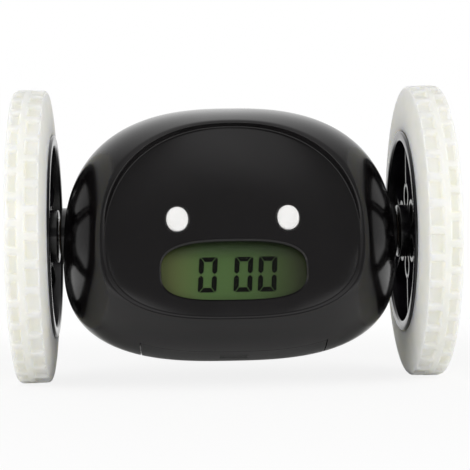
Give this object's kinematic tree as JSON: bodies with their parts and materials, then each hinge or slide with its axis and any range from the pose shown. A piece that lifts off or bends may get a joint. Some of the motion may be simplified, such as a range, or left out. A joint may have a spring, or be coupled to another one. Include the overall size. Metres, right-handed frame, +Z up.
{
  "type": "runaway alarm clock",
  "caption": "Rolling alarm clock with a rounded body, a recessed digital face, push buttons, a battery door and two geared wheels with pocketed tyres.",
  "frame": {"origin": "on the floor between the two tyres, below the middle of the axle", "axes": "+X along the wheel axles to the right, +Y to the back, +Z up; the face looks to -Y"},
  "size_m": [0.131, 0.089, 0.089],
  "materials": {
    "black_abs": "moulded gloss black ABS",
    "hub_abs": "moulded gloss black ABS, polished",
    "white_tyre": "moulded white thermoplastic rubber",
    "white_button": "moulded gloss white ABS",
    "dark_button": "moulded satin black ABS",
    "clear_window": "clear moulded acrylic",
    "lcd_glass": "grey-green liquid crystal glass",
    "lcd_ink": "dark liquid crystal segments",
    "light_plate": "green light plate",
    "board_green": "solder-masked glass epoxy board",
    "part_black": "moulded epoxy",
    "frame_grey": "moulded nylon",
    "cell_jacket": "printed cell jacket without lettering",
    "spring_steel": "nickel-plated spring steel",
    "steel": "ground steel",
    "motor_can": "drawn and plated can",
    "motor_cap": "moulded nylon",
    "gear_white": "moulded acetal",
    "brass": "turned brass"
  },
  "bodies": {
    "clock_body": {"front_shell": "black_abs", "rear_shell": "black_abs", "display_window": "clear_window", "lcd_glass": "lcd_glass", "lcd_digits": "lcd_ink", "lcd_frame": "frame_grey", "chassis": "frame_grey", "backlight": "light_plate", "main_board": "board_green", "snooze_switch": "board_green", "rear_board": "board_green", "board_parts": "part_black", "face_switches": "part_black", "rear_switches": "part_black", "buzzer": "brass", "batteries": "cell_jacket", "battery_contacts": "spring_steel", "shell_screws": "steel", "left_gear_pins": "steel", "left_axle_bush": "brass", "left_motor": "motor_can", "left_motor_end": "motor_cap", "left_gearbox_case": "frame_grey", "left_gearbox_cover": "frame_grey", "right_gear_pins": "steel", "right_axle_bush": "brass", "right_motor": "motor_can", "right_motor_end": "motor_cap", "right_gearbox_case": "frame_grey", "right_gearbox_cover": "frame_grey"},
    "hour_button": {"hour_button": "white_button"},
    "minute_button": {"minute_button": "white_button"},
    "snooze_button": {"snooze_button": "black_abs"},
    "time_button": {"time_button": "dark_button"},
    "alarm_button": {"alarm_button": "dark_button"},
    "interval_button": {"interval_button": "dark_button"},
    "wheels_button": {"wheels_button": "dark_button"},
    "battery_door": {"battery_door": "black_abs"},
    "left_wheel": {"left_tyre": "white_tyre", "left_hub": "hub_abs", "left_hub_cap": "hub_abs", "left_hub_screw": "steel", "left_axle": "steel", "left_output_gear": "gear_white"},
    "left_second_gear": {"left_second_gear": "gear_white"},
    "left_first_gear": {"left_first_gear": "gear_white"},
    "left_rotor": {"left_motor_shaft": "steel", "left_motor_pinion": "brass"},
    "right_wheel": {"right_tyre": "white_tyre", "right_hub": "hub_abs", "right_hub_cap": "hub_abs", "right_hub_screw": "steel", "right_axle": "steel", "right_output_gear": "gear_white"},
    "right_second_gear": {"right_second_gear": "gear_white"},
    "right_first_gear": {"right_first_gear": "gear_white"},
    "right_rotor": {"right_motor_shaft": "steel", "right_motor_pinion": "brass"}
  },
  "joints": [
    {"name": "hour_button_press", "type": "slide", "parent": "clock_body", "child": "hour_button", "axis": [0, 0.9713, -0.2379], "range_m": [0, 0.0008], "stiffness_N_per_m": 800, "springref_m": -0.0004},
    {"name": "minute_button_press", "type": "slide", "parent": "clock_body", "child": "minute_button", "axis": [0, 0.9713, -0.2379], "range_m": [0, 0.0008], "stiffness_N_per_m": 800, "springref_m": -0.0004},
    {"name": "snooze_button_press", "type": "slide", "parent": "clock_body", "child": "snooze_button", "axis": [0, 0, -1], "range_m": [0, 0.0012], "stiffness_N_per_m": 900, "springref_m": -0.0004},
    {"name": "time_button_press", "type": "slide", "parent": "clock_body", "child": "time_button", "axis": [0, -1, 0], "range_m": [0, 0.0007], "stiffness_N_per_m": 800, "springref_m": -0.0004},
    {"name": "alarm_button_press", "type": "slide", "parent": "clock_body", "child": "alarm_button", "axis": [0, -1, 0], "range_m": [0, 0.0007], "stiffness_N_per_m": 800, "springref_m": -0.0004},
    {"name": "interval_button_press", "type": "slide", "parent": "clock_body", "child": "interval_button", "axis": [0, -1, 0], "range_m": [0, 0.0007], "stiffness_N_per_m": 800, "springref_m": -0.0004},
    {"name": "wheels_button_press", "type": "slide", "parent": "clock_body", "child": "wheels_button", "axis": [0, -1, 0], "range_m": [0, 0.0007], "stiffness_N_per_m": 800, "springref_m": -0.0004},
    {"name": "battery_door_hinge", "type": "hinge", "parent": "clock_body", "child": "battery_door", "pos_m": [0, 0.024, 0.00998], "axis": [1, 0, 0], "range_deg": [0, 35]},
    {"name": "left_wheel_spin", "type": "hinge", "parent": "clock_body", "child": "left_wheel", "pos_m": [0, 0, 0.0445], "axis": [1, 0, 0], "continuous": true},
    {"name": "left_second_gear_spin", "type": "hinge", "parent": "clock_body", "child": "left_second_gear", "pos_m": [0, 0.01006, 0.05104], "axis": [1, 0, 0], "continuous": true},
    {"name": "left_first_gear_spin", "type": "hinge", "parent": "clock_body", "child": "left_first_gear", "pos_m": [0, 0.02033, 0.04885], "axis": [1, 0, 0], "continuous": true},
    {"name": "left_rotor_spin", "type": "hinge", "parent": "clock_body", "child": "left_rotor", "pos_m": [0, 0.01842, 0.03802], "axis": [1, 0, 0], "continuous": true},
    {"name": "right_wheel_spin", "type": "hinge", "parent": "clock_body", "child": "right_wheel", "pos_m": [0, 0, 0.0445], "axis": [1, 0, 0], "continuous": true},
    {"name": "right_second_gear_spin", "type": "hinge", "parent": "clock_body", "child": "right_second_gear", "pos_m": [0, 0.01006, 0.05104], "axis": [1, 0, 0], "continuous": true},
    {"name": "right_first_gear_spin", "type": "hinge", "parent": "clock_body", "child": "right_first_gear", "pos_m": [0, 0.02033, 0.04885], "axis": [1, 0, 0], "continuous": true},
    {"name": "right_rotor_spin", "type": "hinge", "parent": "clock_body", "child": "right_rotor", "pos_m": [0, 0.01842, 0.03802], "axis": [1, 0, 0], "continuous": true}
  ],
  "couplings": [
    {"joint": "left_second_gear_spin", "follows": "left_wheel_spin", "ratio": -3.8},
    {"joint": "left_first_gear_spin", "follows": "left_wheel_spin", "ratio": 12.16},
    {"joint": "left_rotor_spin", "follows": "left_wheel_spin", "ratio": -41.344},
    {"joint": "right_second_gear_spin", "follows": "right_wheel_spin", "ratio": -3.8},
    {"joint": "right_first_gear_spin", "follows": "right_wheel_spin", "ratio": 12.16},
    {"joint": "right_rotor_spin", "follows": "right_wheel_spin", "ratio": -41.344}
  ]
}
